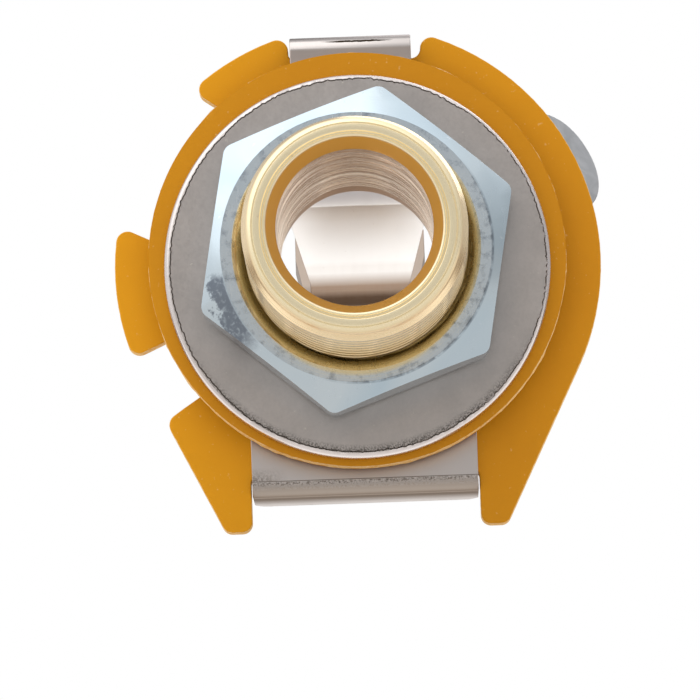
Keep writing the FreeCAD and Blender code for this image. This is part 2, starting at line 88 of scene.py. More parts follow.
# radii of the bushing, in millimetres
BORE_RADIUS = 3.3
RELIEF_RADIUS = 3.46
NOSE_RADIUS = 4.55
CREST_RADIUS = 4.75
SHANK_RADIUS = 4.55
FLANGE_RADIUS = 6.3

# the nut's turned face ends at this radius
FACE_RADIUS = 5.8

# inner and outer radius, front and back of the washer and the disc
WASHER = (4.95, 8.3, 2.7, 3.7)
DISC = (5.15, 9.05, 3.7, 4.7)

# the washer hangs on the shank by the play in its hole, and its rim starts at this radius
WASHER_DROP = 0.4
WASHER_EDGE = 8.08

# heights where the lower strip folds down and where the plating of the upper one is cracked
LOWER_FOLD = -9.33
CRACK_LINE = 9.62

# the cuts across each spring arm that let it bend smoothly
TIP_CUTS = [5.8, 6.2, 6.6, 7.0, 7.4, 7.8, 8.4, 9.0, 9.6, 10.2, 10.8]
RING_CUTS = [6.5, 7.0, 7.5, 8.0, 8.5, 9.0, 9.5, 10.0]

# for each contact: its CAD node, the body of its arm, where the arm is parted from the ring, half the arm's
# width, the height of its root, and its cuts
CONTACTS = {
    "tip": ("tip_contact", "tip_spring", 5.4, 4.2, 9.75, TIP_CUTS),
    "ring": ("ring_contact", "ring_spring", 6.05, 5.4, -9.75, RING_CUTS),
}

# corners in one turn of a turned piece
AROUND = 192
WASHER_AROUND = 720
DISC_AROUND = 320

# the flat part of the thread's root, as a share of the half pitch, and the turns it takes to run out
ROOT_FLAT = 0.1
RUN_OUT_TURNS = 0.75

# corners nearer than this are one, in metres, and facets that turn by less are one face, in degrees
MERGE_DISTANCE = 1e-7
FLAT_ANGLE = 0.4

# the floor lies this far under the legs and reaches this far, in millimetres
FLOOR_GAP = 1.0
FLOOR_REACH = 142.0

# the tint of what is low down behind, and of the floor's painted shadow
WARM_DARK = (1.0, 0.75, 0.57)

# tints that the finishes mix into their own colour
TINTS = {
    "gold worn": (0.93, 0.77, 0.53),
    "gold nose painted highlight": (1.0, 0.88, 0.6),
    "gold lead-in painted reflection": (0.75, 0.38, 0.065),
    "gold dirt": (0.5, 0.3, 0.12),
    "bore groove": (0.78, 0.64, 0.52),
    "bore land": (1.0, 0.92, 0.83),
    "bore relief painted shade": (0.36, 0.24, 0.16),
    "bore ring painted highlight": (1.0, 0.96, 0.9),
    "bore dirt": (0.3, 0.18, 0.1),
    "zinc film": (0.62, 0.7, 0.75),
    "zinc face": (0.84, 0.9, 0.95),
    "zinc worn": (0.24, 0.29, 0.36),
    "zinc golden painted reflection": (0.86, 0.78, 0.52),
    "zinc root painted shade": (0.2, 0.165, 0.065),
    "zinc patch": (0.13, 0.15, 0.19),
    "zinc seam": (0.1, 0.12, 0.15),
    "zinc speck": (0.85, 0.9, 0.95),
    "washer pale": (0.56, 0.51, 0.48),
    "washer speck": (0.8, 0.76, 0.66),
    "washer rim painted highlight": (0.74, 0.68, 0.66),
    "washer tear": (0.09, 0.08, 0.07),
    "strip clamped painted shade": (0.66, 0.61, 0.585),
    "strip level painted shade": (0.52, 0.49, 0.49),
    "strip crest painted reflection": (0.36, 0.26, 0.19),
    "strip crest painted reflection end": (0.42, 0.32, 0.25),
    "strip streak painted reflection": (0.3, 0.2, 0.15),
    "strip rolled": (0.66, 0.62, 0.58),
    "strip ramp painted reflection": (1.0, 0.98, 0.96),
    "strip lip painted reflection": (0.38, 0.31, 0.26),
    "strip speck": (0.45, 0.4, 0.36),
    "strip grit and painted shade": (0.15, 0.125, 0.1),
    "strip front painted shade": (0.34, 0.25, 0.2),
    "strip below painted shade": (0.33, 0.28, 0.24),
    "strip worn": (0.4, 0.37, 0.36),
    "strip crack": (0.04, 0.03, 0.02),
    "tag flow": (0.5, 0.51, 0.53),
    "laminate painted shade and tone": (0.72, 0.64, 0.6),
    "laminate grain": (0.8, 0.4, 0.04),
    "laminate dot": (0.9, 0.65, 0.3),
}


def length(name, default, about):
    """A size of a few hundredths of a millimetre to some metres."""
    return bpy.props.FloatProperty(
        name=name, description=about, default=default * MM, min=0, precision=6, unit="LENGTH"
    )


def aim(name, default, about):
    return bpy.props.FloatProperty(name=name, description=about, default=default * MM, unit="LENGTH")


def turn(name, default, about):
    angle = math.radians(default)
    return bpy.props.FloatProperty(name=name, description=about, default=angle, subtype="ANGLE")


def colour(name, default, about):
    return bpy.props.FloatVectorProperty(
        name=name, description=about, default=default, size=3, min=0, max=1, subtype="COLOR"
    )


class JackThreadSettings(bpy.types.PropertyGroup):
    pitch: length("Pitch", 0.794, "Distance from one thread crest to the next")
    depth: length("Depth", 0.18, "Depth of the thread groove below the crest")
    crest: bpy.props.FloatProperty(
        name="Crest share", description="Part of the pitch that the crest takes", default=0.66, min=0, max=1
    )
    rows: bpy.props.IntProperty(
        name="Rows", description="Mesh rows in one turn of thread", default=16, min=6, max=40
    )


class JackEdgeSettings(bpy.types.PropertyGroup):
    punched: length("Punched edge", 0.07, "Rounding left by the punch on discs, plate and tags")
    machined: length("Machined edge", 0.06, "Rounding of the nut's machined corners")
    strip: length("Strip edge", 0.05, "Rounding of the spring strips' sheared edges")
    rough: length("Cut roughness", 0.08, "How far the cut wall of the laminate wavers")


class JackColourSettings(bpy.types.PropertyGroup):
    gold: colour("Gold", (0.92, 0.71, 0.41), "Gold plating of the bushing")
    zinc: colour("Zinc", (0.52, 0.63, 0.71), "Blue zinc plating of the clamp nut")
    nickel: colour("Nickel", (0.48, 0.44, 0.415), "Nickel plating of the washer")
    spring: colour("Spring", (0.92, 0.89, 0.86), "Nickel plating of the spring strips")
    tin: colour("Tin", (0.38, 0.39, 0.41), "Dull tinning of the solder tag")
    amber: colour("Amber", (0.8, 0.355, 0.003), "Paper laminate of the discs and the plate")
    cut: colour("Cut edge", (0.95, 0.74, 0.42), "Pale fibres on the laminate's cut wall")


class JackStudioSettings(bpy.types.PropertyGroup):
    azimuth: turn("Azimuth", 0.5, "Camera's turn round the jack")
    elevation: turn("Elevation", -7.17, "Camera's height over the axis")
    roll: turn("Roll", 2.0, "Turn of the picture about the view line")
    distance: length("Distance", 295.8, "From the camera to the point it looks at")
    zoom: bpy.props.FloatProperty(
        name="Zoom", description="Distance from the jack, in picture widths", default=9.965, min=1
    )
    aim_side: aim("Aim sideways", -0.416, "Where the camera looks, along X")
    aim_height: aim("Aim height", -4.414, "Where the camera looks, along Z")


class Nodes:
    """Adds nodes to a tree, links their inputs and sets their plain values."""

    def __init__(self, tree):
        self.tree = tree
        self.count = 0

    def add(self, kind, inputs=None, **settings):
        """A new node, laid out in rows of twelve."""
        node = self.tree.nodes.new(kind)
        for key, value in settings.items():
            setattr(node, key, value)
        for key, value in (inputs or {}).items():
            self.feed(node.inputs[key], value)
        node.location = (200 * (self.count % 12), -240 * (self.count // 12))
        self.count += 1
        return node

    def feed(self, socket, value):
        if isinstance(value, bpy.types.NodeSocket):
            self.tree.links.new(value, socket)
        elif value is not None:
            if socket.type == "RGBA" and len(value) == 3:
                value = (*value, 1.0)
            socket.default_value = value

    def math(self, operation, *values, clamp=False):
        inputs = dict(enumerate(values))
        return self.add("ShaderNodeMath", inputs, operation=operation, use_clamp=clamp).outputs[0]

    def plus(self, first, second, clamp=False):
        return self.math("ADD", first, second, clamp=clamp)

    def minus(self, first, second, clamp=False):
        return self.math("SUBTRACT", first, second, clamp=clamp)

    def times(self, product, *factors):
        for factor in factors:
            product = self.math("MULTIPLY", product, factor)
        return product

    def total(self, start, *terms):
        """A value plus others, each given with its factor."""
        for value, factor in terms:
            start = self.plus(start, self.times(value, factor))
        return start

    def off(self, value, middle):
        """How far a value is from the middle of a line."""
        return self.math("ABSOLUTE", self.minus(value, middle))

    def from_axis(self, first, second):
        """Distance from the origin, from two coordinates."""
        return self.math("SQRT", self.plus(self.times(first, first), self.times(second, second)))

    def vector_math(self, operation, *values):
        inputs = dict(enumerate(values))
        return self.add("ShaderNodeVectorMath", inputs, operation=operation).outputs["Vector"]

    def scaled(self, place, *factors):
        return self.vector_math("MULTIPLY", place, factors)

    def spread(self, value, low, high, out_low=0.0, out_high=1.0, smooth=False):
        """Takes low to high over to out_low to out_high, and stays there beyond."""
        node = self.add(
            "ShaderNodeMapRange",
            {"Value": value, "From Min": low, "From Max": high, "To Min": out_low, "To Max": out_high},
            clamp=True,
            interpolation_type="SMOOTHSTEP" if smooth else "LINEAR",
        )
        return node.outputs["Result"]

    def where(self, *bands):
        """A mask from bands of (value, none, full). Each is 0 where its value is at none and 1 at full."""
        return self.times(*[self.spread(*band) for band in bands])

    def noise(self, place, scale, detail=2.0, roughness=0.5, distortion=0.0):
        inputs = {"Vector": place, "Scale": scale, "Detail": detail, "Roughness": roughness}
        inputs["Distortion"] = distortion
        return self.add("ShaderNodeTexNoise", inputs).outputs["Fac"]

    def mix(self, amount, first, second, blend="MIX"):
        """Mixes two colours. Those are the seventh and eighth input of the node, and the third output."""
        inputs = {"Factor": amount, 6: first, 7: second}
        return self.add("ShaderNodeMix", inputs, data_type="RGBA", blend_type=blend).outputs[2]

    def split(self, vector):
        return self.add("ShaderNodeSeparateXYZ", {"Vector": vector}).outputs

    def join(self, x, y, z):
        return self.add("ShaderNodeCombineXYZ", {"X": x, "Y": y, "Z": z}).outputs[0]

    def attribute(self, name):
        return self.add("ShaderNodeAttribute", attribute_name=name).outputs["Fac"]

    def use(self, name, build, **inputs):
        """Places a node group, which is built the first time it is used, and gives its outputs."""
        tree = bpy.data.node_groups.get(name) or build(name)
        fed = {key.replace("_", " "): value for key, value in inputs.items()}
        return self.add("ShaderNodeGroup", fed, node_tree=tree).outputs


def emptied(owner):
    """The node tree of a material or world, with nothing in it."""
    owner.use_nodes = True
    owner.node_tree.nodes.clear()
    return owner.node_tree


class Group(Nodes):
    """A shader node group in the making, with named inputs and outputs."""

    def __init__(self, name, inputs, outputs):
        super().__init__(bpy.data.node_groups.new(name, "ShaderNodeTree"))
        for title, kind, value in inputs:
            socket = self.tree.interface.new_socket(title, in_out="INPUT", socket_type="NodeSocket" + kind)
            if value is not None:
                socket.default_value = value
        for title, kind in outputs:
            self.tree.interface.new_socket(title, in_out="OUTPUT", socket_type="NodeSocket" + kind)
        self.given = self.add("NodeGroupInput").outputs
        self.result = self.add("NodeGroupOutput").inputs

    def give(self, **outputs):
        """Feeds the group's outputs and gives the finished tree."""
        for title, value in outputs.items():
            self.feed(self.result[title], value)
        return self.tree


def build_millimetres(name):
    """Object coordinates in millimetres, and the distance and angle about the jack's axis."""
    outputs = [("Place", "Vector"), ("Radius", "Float"), ("Angle", "Float")]
    group = Group(name, [("Vector", "Vector", None)], outputs)
    place = group.scaled(group.given["Vector"], 1000.0, 1000.0, 1000.0)
    x, _, z = group.split(place)
    return group.give(Place=place, Radius=group.from_axis(x, z), Angle=group.math("ARCTAN2", z, x))


def build_turning_lines(name):
    """Fine rings left by a lathe tool, running with Along, broken up round the axis."""
    inputs = [("Along", "Float", 0.0), ("Place", "Vector", None)]
    inputs += [("Lines per mm", "Float", 12.0), ("Waver", "Float", 0.15)]
    group = Group(name, inputs, [("Lines", "Float")])
    given = group.given
    drift = group.times(group.noise(given["Place"], 0.35, 1.0), given["Waver"])
    along = group.times(group.plus(given["Along"], drift), given["Lines per mm"])
    fine = group.noise(group.join(along, 0.0, 0.0), 1.0, 3.0, 0.7)
    coarse = group.noise(group.join(group.times(along, 0.21), 7.0, 0.0), 1.0, 1.0)
    return group.give(Lines=group.total(group.times(fine, 0.65), (coarse, 0.35)))


def build_handling(name):
    """Smudges and small scratches that handling leaves on plating."""
    inputs = [("Place", "Vector", None), ("Smudge size", "Float", 0.5), ("Scratch size", "Float", 6.0)]
    group = Group(name, inputs, [("Smudge", "Float"), ("Scratch", "Float"), ("Speck", "Float")])
    place = group.given["Place"]
    stretched = {"Vector": group.scaled(place, 1.0, 1.0, 0.07), "Rotation": (0.2, 0.5, 0.3)}
    tilted = group.add("ShaderNodeMapping", stretched, vector_type="POINT").outputs[0]
    return group.give(
        Smudge=group.noise(place, group.given["Smudge size"], 4.0, 0.6, 0.4),
        Scratch=group.spread(group.noise(tilted, group.given["Scratch size"], 2.0, 0.5), 0.66, 0.74),
        Speck=group.spread(group.noise(place, 3.4, 3.0, 0.65), 0.68, 0.76),
    )


def build_laminate(name):
    """Colour, roughness and height of amber paper laminate: pressed paper on its faces, and pale torn fibres
    on its cut wall. Painted shade darkens the faces from left to right and by the Shade given."""
    inputs = [("Place", "Vector", None), ("Cut", "Float", 0.0), ("Amber", "Color", (0.6, 0.25, 0.01, 1.0))]
    inputs += [("Fibre", "Color", (0.8, 0.6, 0.3, 1.0)), ("Shade", "Float", 0.0)]
    group = Group(name, inputs, [("Colour", "Color"), ("Roughness", "Float"), ("Height", "Float")])
    place, cut, amber = (group.given[title] for title in ("Place", "Cut", "Amber"))
    x, _, z = group.split(place)
    # painted shade: the faces darken from left to right and with Shade; cloud adds a random tone
    side = group.spread(group.total(x, (z, -0.35)), -9.0, 10.0)
    cloud = group.noise(place, 0.22, 3.0, 0.55)
    grain = group.noise(group.scaled(place, 1.0, 1.0, 4.5), 2.6, 3.0, 0.6)
    dots = group.spread(group.noise(place, 5.5, 2.0, 0.5), 0.7, 0.78)
    tone = group.plus(group.total(group.times(side, 0.55), (cloud, 0.5)), group.given["Shade"], clamp=True)
    face = group.mix(tone, amber, group.mix(1.0, amber, TINTS["laminate painted shade and tone"], "MULTIPLY"))
    face = group.mix(group.times(grain, 0.1), face, TINTS["laminate grain"])
    face = group.mix(group.times(dots, 0.3), face, TINTS["laminate dot"])
    torn = group.noise(group.scaled(place, 3.0, 9.0, 3.0), 1.6, 4.0, 0.7)
    wall = group.mix(group.spread(torn, 0.36, 0.62), amber, group.given["Fibre"])
    return group.give(
        Colour=group.mix(cut, face, wall),
        Roughness=group.total(group.spread(grain, 0.2, 0.8, 0.4, 0.56), (cut, 0.35)),
        Height=group.total(group.times(torn, cut, 3.0), (grain, 0.25)),
    )


class Finish(Nodes):
    """A material in the making: where it is on the jack, in millimetres, and its tint so far."""

    def __init__(self, name, tint=None):
        self.material = bpy.data.materials.new(name)
        super().__init__(emptied(self.material))
        here = self.add("ShaderNodeTexCoord").outputs["Object"]
        at = self.use("jack_millimetres", build_millimetres, Vector=here)
        self.place, self.radius, self.angle = (at[title] for title in ("Place", "Radius", "Angle"))
        self.shader = self.add("ShaderNodeBsdfPrincipled")
        self.add("ShaderNodeOutputMaterial", {"Surface": self.shader.outputs["BSDF"]})
        if tint:
            self.tint = tuple(getattr(bpy.context.scene.jack_colours, tint))

    def handled(self, smudge_size):
        """The Smudge, Scratch and Speck that handling leaves."""
        return self.use("jack_handling", build_handling, Place=self.place, Smudge_size=smudge_size)

    def turned(self, along, lines_per_mm, waver=None):
        """The rings that the lathe tool leaves along a coordinate."""
        fed = {"Along": along, "Place": self.place, "Lines_per_mm": lines_per_mm, "Waver": waver}
        return self.use("jack_turning_lines", build_turning_lines, **fed)["Lines"]

    def stain(self, tint, mask, strength=None):
        """Mixes a tint over the one so far, where the mask says."""
        amount = mask if strength is None else self.times(mask, strength)
        self.tint = self.mix(amount, self.tint, TINTS[tint] if isinstance(tint, str) else tint)

    def done(self, metallic, roughness, height, depth_mm, strength):
        """Feeds the shader and gives the finished material."""
        bump = self.add("ShaderNodeBump", {"Height": height, "Distance": depth_mm * MM, "Strength": strength})
        fed = {"Base Color": self.tint, "Metallic": metallic, "Roughness": roughness}
        for title, value in fed.items():
            self.feed(self.shader.inputs[title], value)
        self.feed(self.shader.inputs["Normal"], bump.outputs["Normal"])
        return self.material


def gold_plate():
    """Turned gold, pale outside. A painted highlight makes the nose's front paler, and a painted reflection
    makes the lead-in deeper orange and less metallic, where it mirrors itself.
    """
    gold = Finish("gold_plate_turned", "gold")
    _, y, _ = gold.split(gold.place)
    rings = gold.total(gold.times(gold.turned(y, 9.0), 0.7), (gold.turned(gold.radius, 10.0), 0.3))
    handled = gold.handled(0.6)
    lead_in = gold.where((gold.radius, 3.74, 3.68), (y, -5.5, -5.6))
    gold.stain("gold worn", handled["Smudge"], 0.5)
    # painted highlight: the front of the nose is paler
    gold.stain("gold nose painted highlight", gold.where((y, -6.5, -6.6)), 0.8)
    # painted reflection: the lead-in is deeper orange, and less metallic so that diffuse light brightens it
    gold.stain("gold lead-in painted reflection", lead_in)
    gold.stain("gold dirt", handled["Speck"], 0.35)
    metallic = gold.spread(lead_in, 0.0, 1.0, 0.82, 0.25)
    roughness = gold.total(gold.spread(rings, 0.3, 0.7, 0.22, 0.34), (lead_in, -0.06))
    return gold.done(metallic, roughness, rings, 0.012, 0.7)


def gold_bore():
    """The bore's wall, thinly plated, with the streaks of the boring tool."""
    bore = Finish("gold_plate_bored")
    _, y, _ = bore.split(bore.place)
    streak = bore.noise(bore.join(bore.times(y, 6.0), bore.times(bore.angle, 2.2), 0.0), 1.0, 3.0, 0.6)
    drawn = bore.total(bore.times(bore.turned(y, 5.0, 0.5), 0.5), (streak, 0.5))
    bore.tint = bore.mix(bore.spread(drawn, 0.36, 0.62), TINTS["bore groove"], TINTS["bore land"])
    # painted shade: the relief's wall behind the step is dark brown
    bore.stain("bore relief painted shade", bore.where((y, RELIEF_FROM + 0.1, RELIEF_FROM + 0.4)), 0.85)
    # painted highlight: a bright line at the ring and at the relief's step
    for ring in (BORE_RING, RELIEF_FROM):
        bore.stain("bore ring painted highlight", bore.where((bore.off(y, ring), 0.32, 0.16)), 0.9)
    bore.stain("bore dirt", bore.handled(0.8)["Speck"], 0.7)
    bore.feed(bore.shader.inputs["Specular Tint"], bore.tint)
    return bore.done(1.0, bore.spread(drawn, 0.3, 0.7, 0.1, 0.24), drawn, 0.02, 0.5)


def zinc_plate():
    """Blue zinc: mottled on the turned face and dark at one corner, with a painted golden reflection of the
    barrel and a painted shade line round the barrel's root.
    """
    zinc = Finish("zinc_plate_blue", "zinc")
    _, _, z = zinc.split(zinc.place)
    radius, angle = zinc.radius, zinc.angle
    handled = zinc.handled(0.35)
    mottle = zinc.noise(zinc.place, 2.2, 4.0, 0.65)
    face = zinc.where((radius, FACE_RADIUS, FACE_RADIUS - 0.04))
    worn = zinc.times(zinc.where((mottle, 0.5, 0.68)), face)
    zinc.stain("zinc film", zinc.where((zinc.noise(zinc.place, 0.18, 2.0, 0.5, 0.8), 0.35, 0.65)))
    zinc.stain("zinc face", face, 0.5)
    zinc.stain("zinc worn", worn, 0.75)

    # a painted reflection of the gold barrel in the face, and a painted shade line round the barrel's root
    painted_reflection = zinc.plus(radius, zinc.spread(z, -3.0, -5.6, 0.06, -0.24))
    zinc.stain("zinc golden painted reflection", zinc.where((painted_reflection, 5.32, 5.2)), 0.85)
    broken = zinc.noise(zinc.join(zinc.times(radius, 9.0), angle, 0.0), 1.0, 2.0, 0.6)
    zinc.stain("zinc root painted shade", zinc.where((zinc.total(radius, (broken, 0.2)), 5.26, 5.0)), 0.7)

    # the darker, pitted patch on the corner at the lower left
    jagged = zinc.total(radius, (mottle, 1.6))
    frayed = zinc.total(angle, (mottle, 0.12))
    beyond = (radius, FACE_RADIUS - 0.02, FACE_RADIUS + 0.06)
    patch = zinc.where((jagged, 7.4, 7.25), beyond, (frayed, -2.93, -2.88), (frayed, -2.3, -2.46))
    pits = zinc.spread(zinc.noise(zinc.place, 5.0, 4.0, 0.7), 0.34, 0.5, 0.5, 0.85)
    zinc.stain("zinc patch", patch, pits)

    # the broken dark line where the turned face ends
    seam = zinc.off(zinc.total(radius, (mottle, 0.08)), FACE_RADIUS + 0.05)
    seam = zinc.where((seam, 0.08, 0.03), (angle, 0.7, 0.2), (angle, -1.9, -1.5))
    zinc.stain("zinc seam", zinc.times(seam, zinc.spread(mottle, 0.34, 0.6, 0.1, 1.0)), 0.7)
    zinc.stain("zinc speck", handled["Speck"], 0.5)
    shine = zinc.spread(handled["Smudge"], 0.3, 0.7, 0.16, 0.27)
    height = zinc.total(zinc.times(zinc.turned(radius, 7.0), 0.4), (handled["Smudge"], 0.9))
    return zinc.done(1.0, zinc.total(shine, (worn, 0.12), (handled["Scratch"], 0.12)), height, 0.02, 0.6)


def nickel_washer():
    """Satin nickel with a smoother rim that a painted highlight makes paler, and a torn dark line where the
    rim starts.
    """
    nickel = Finish("nickel_plate_washer", "nickel")
    place = nickel.place
    handled = nickel.handled(0.45)
    own = nickel.scaled(nickel.vector_math("ADD", place, (0.0, 0.0, WASHER_DROP)), 1.0, 0.0, 1.0)
    x, _, z = nickel.split(own)
    radius = nickel.from_axis(x, z)
    grain = nickel.noise(place, 8.0, 3.0, 0.65)
    tone = nickel.total(nickel.times(grain, 0.4), (nickel.noise(place, 0.5, 3.0, 0.6), 0.6))
    rim = nickel.where((radius, WASHER_EDGE + 0.01, WASHER_EDGE + 0.05))
    nickel.stain("washer pale", nickel.where((tone, 0.35, 0.65)))
    nickel.stain("washer speck", handled["Speck"], 0.5)
    # painted highlight: the rim is paler; its lower roughness is its own smoother finish
    nickel.stain("washer rim painted highlight", rim)
    near = (radius, WASHER_EDGE - 0.34, WASHER_EDGE - 0.06)
    crumbs = (nickel.noise(place, 14.0, 3.0, 0.7), 0.44, 0.56)
    torn = nickel.times(nickel.where(near, (z, -3.0, -6.5), crumbs), nickel.minus(1.0, rim))
    burr = nickel.times(nickel.attribute("burr"), nickel.spread(grain, 0.3, 0.6, 0.5, 0.9))
    nickel.stain("washer tear", nickel.math("MAXIMUM", torn, burr), 0.9)
    satin = nickel.spread(grain, 0.3, 0.7, 0.3, 0.42)
    roughness = nickel.total(satin, (rim, -0.12), (handled["Smudge"], 0.05))
    return nickel.done(1.0, roughness, nickel.plus(grain, handled["Speck"]), 0.006, 0.4)


def nickel_spring():
    """Plated strip. Painted shade makes it darker where it is clamped and along the upper arm, and paler
    further out on the arms; painted reflections make the ramp white and the tip spring's crest and lip brown.
    It is cracked over the upper bend and grainy over the lower one, with painted shade in a corner and along
    the lower fold, below that fold and on the upper strip's front."""
    strip = Finish("nickel_plate_spring", "spring")
    x, y, z = strip.split(strip.place)
    handled = strip.handled(0.7)
    rolled = strip.noise(strip.scaled(strip.place, 1.0, 0.1, 0.2), 5.0, 3.0, 0.6)
    grit = strip.noise(strip.place, 13.0, 3.0, 0.65)
    above = strip.math("GREATER_THAN", z, 0.0)
    upper = strip.spread(y, 14.3, 15.3, 1.0, 0.0, True)
    lower = strip.spread(y, 8.0, 11.0, 1.0, 0.0, True)
    # painted shade: darker near the clamp, and on the upper strip as far as the ramp
    strip.stain("strip clamped painted shade", strip.mix(above, lower, upper))
    # painted shade: greyer on the upper arm's level part
    level = strip.mix(upper, strip.tint, TINTS["strip level painted shade"])
    strip.stain(level, strip.times(above, strip.where((y, 8.0, 9.5))))

    # painted reflections on the crest that the plug's tip touches, the ramp down to it and the lip behind it:
    # brown where they would mirror the dark room behind, and white on the ramp
    streaks = strip.noise(strip.join(strip.times(x, 0.3), strip.times(y, 9.0), z), 1.0, 3.0, 0.6)
    brown = strip.mix(strip.where((y, 18.6, 18.9)), TINTS["strip crest painted reflection"], TINTS["strip crest painted reflection end"])
    brown = strip.mix(strip.spread(streaks, 0.4, 0.6, 0.0, 0.35), brown, TINTS["strip streak painted reflection"])
    ramp = strip.times(above, strip.where((y, 15.2, 15.6), (z, 1.55, 1.75)))
    lip = strip.times(above, strip.where((y, 19.2, 19.5)))
    strip.stain(brown, strip.where((y, 17.5, 18.0), (z, 1.62, 1.5)))
    strip.stain("strip rolled", strip.where((rolled, 0.35, 0.65)), 0.04)
    strip.stain("strip ramp painted reflection", strip.minus(ramp, lip, clamp=True))
    strip.stain("strip lip painted reflection", lip)
    strip.stain("strip speck", handled["Speck"], 0.2)

    # grit over the lower bend, with painted shade in the corner above it and a painted shade line along the
    # fold
    early = (y, 6.1, 5.9)
    band = [(z, LOWER_FOLD, LOWER_FOLD - 0.06), (z, LOWER_FOLD - 0.39, LOWER_FOLD - 0.15)]
    grainy = strip.where(*band, early, (grit, 0.4, 0.6))
    corner = [(x, -3.3, -4.6), (z, -8.7, -9.3), (z, LOWER_FOLD - 0.04, LOWER_FOLD)]
    grainy = strip.math("MAXIMUM", grainy, strip.where(*corner, (grit, 0.3, 0.6)))
    fold = strip.math("LESS_THAN", strip.off(z, LOWER_FOLD), 0.018)
    grainy = strip.math("MAXIMUM", grainy, strip.times(fold, strip.where(early), 0.9))
    strip.stain("strip grit and painted shade", grainy, 0.85)

    # the crack in the plating over the upper bend, with worn metal above it
    line = strip.total(CRACK_LINE, (strip.noise(strip.join(x, 0.0, 3.0), 1.3, 3.0, 0.6), 0.1))
    width = strip.times(strip.spread(strip.off(x, 0.3), 0.7, 1.6, 0.05, 0.0), strip.plus(0.4, grit))
    crack = strip.times(strip.math("LESS_THAN", strip.off(z, line), width), strip.where((y, 5.4, 5.3)))
    worn = strip.where((strip.minus(z, line), 0.02, 0.08), (y, 6.2, 5.5))
    # painted shade below the lower fold, and on the upper strip's front under the bend
    below = strip.where((z, -9.35, -9.6), (y, 9.0, 7.0))
    strip.stain("strip front painted shade", strip.where((z, 8.0, 9.0), (y, 5.5, 5.2), (z, 9.4, 9.3)), 0.5)
    strip.stain("strip below painted shade", strip.times(below, strip.minus(1.0, grainy)))
    strip.stain("strip worn", worn)
    strip.stain("strip crack", crack)

    # what the same places mirror at a grazing angle: less below the lower fold, as painted shade, on the worn
    # metal and in the crack
    grazing = strip.mix(below, (1.0, 1.0, 1.0), (0.46, 0.41, 0.37))
    grazing = strip.mix(worn, grazing, (0.5, 0.48, 0.48))
    strip.feed(strip.shader.inputs["Specular Tint"], strip.mix(crack, grazing, (0.1, 0.1, 0.1)))
    shine = strip.spread(rolled, 0.3, 0.7, 0.28, 0.32)
    roughness = strip.total(shine, (strip.plus(grainy, crack), 0.2), (handled["Smudge"], 0.05))
    return strip.done(1.0, roughness, strip.total(rolled, (handled["Scratch"], 0.5)), 0.0006, 0.2)


def tinned_tag():
    """Dull tin that ran before it set."""
    tag = Finish("tin_dipped_tag", "tin")
    flow = tag.noise(tag.place, 0.8, 4.0, 0.6, 1.2)
    tag.stain("tag flow", tag.where((flow, 0.3, 0.7)))
    return tag.done(0.85, tag.spread(tag.handled(0.9)["Smudge"], 0.3, 0.7, 0.36, 0.55), flow, 0.05, 0.6)


def laminate(name, shade=0.0, has_cut=True):
    """Amber laminate; the cut wall is read from the piece's own attribute where it has one."""
    amber = Finish(name, "amber")
    made = amber.use(
        "jack_laminate",
        build_laminate,
        Place=amber.place,
        Cut=amber.attribute("cut") if has_cut else 0.0,
        Amber=amber.tint,
        Fibre=tuple(bpy.context.scene.jack_colours.cut),
        Shade=shade,
    )
    amber.tint = made["Colour"]
    amber.feed(amber.shader.inputs["Specular IOR Level"], 0.17)
    return amber.done(None, made["Roughness"], made["Height"], 0.02, 0.6)


MAKERS = {
    "gold_plate": gold_plate,
    "gold_bore": gold_bore,
    "zinc_steel": zinc_plate,
    "nickel_steel": nickel_washer,
    "nickel_spring": nickel_spring,
    "tinned_tag": tinned_tag,
    "phenolic": lambda: laminate("amber_laminate"),
    # the disc gets more painted shade than the plate
    "phenolic_disc": lambda: laminate("amber_laminate_disc", 0.6),
    "phenolic_plain": lambda: laminate("amber_laminate_plain", 0.1, False),
}


def finish_for(key):
    """The finish of that name, made the first time it is asked for."""
    made = bpy.context.scene.get("jack_finishes") or {}
    if key not in made:
        made = dict(made)
        made[key] = MAKERS[key]().name
        bpy.context.scene["jack_finishes"] = made
    return bpy.data.materials[made[key]]


def new_object(name, data):
    made = bpy.data.objects.new(name, data)
    bpy.context.scene.collection.objects.link(made)
    return made


def new_piece(name, bm, key):
    """A new object from a bmesh, with one finish. The bmesh is freed."""
    bmesh.ops.recalc_face_normals(bm, faces=bm.faces)
    mesh = bpy.data.meshes.new(name)
    bm.to_mesh(mesh)
    bm.free()
    mesh.materials.append(finish_for(key))
    return new_object(name, mesh)


def smooth(mesh, degrees):
    mesh.shade_smooth()
    mesh.set_sharp_from_angle(angle=math.radians(degrees))


def bake(piece):
    """Turns the modifiers of a piece into plain mesh."""
    bpy.context.view_layer.update()
    shape = piece.evaluated_get(bpy.context.evaluated_depsgraph_get())
    mesh = bpy.data.meshes.new_from_object(shape)
    piece.modifiers.clear()
    old = piece.data
    piece.data = mesh
    mesh.name = piece.name
    bpy.data.meshes.remove(old)
    return piece


def lathe(profile, closed=True, around=AROUND, waver=None):
    """A bmesh turned about the jack's axis from a profile of (y, radius)."""
    bm = bmesh.new()
    rows = []
    for y, radius in profile:
        row = []
        for k in range(around):
            angle = FULL_TURN * k / around
            r = radius + (waver(y, radius, angle) if waver else 0.0)
            row.append(bm.verts.new(Vector((r * math.cos(angle), y, r * math.sin(angle))) * MM))
        rows.append(row)
    pairs = list(zip(rows, rows[1:] + rows[:1])) if closed else list(zip(rows, rows[1:]))
    for first, second in pairs:
        for k in range(around):
            j = (k + 1) % around
            bm.faces.new((first[k], first[j], second[j], second[k]))
    return bm


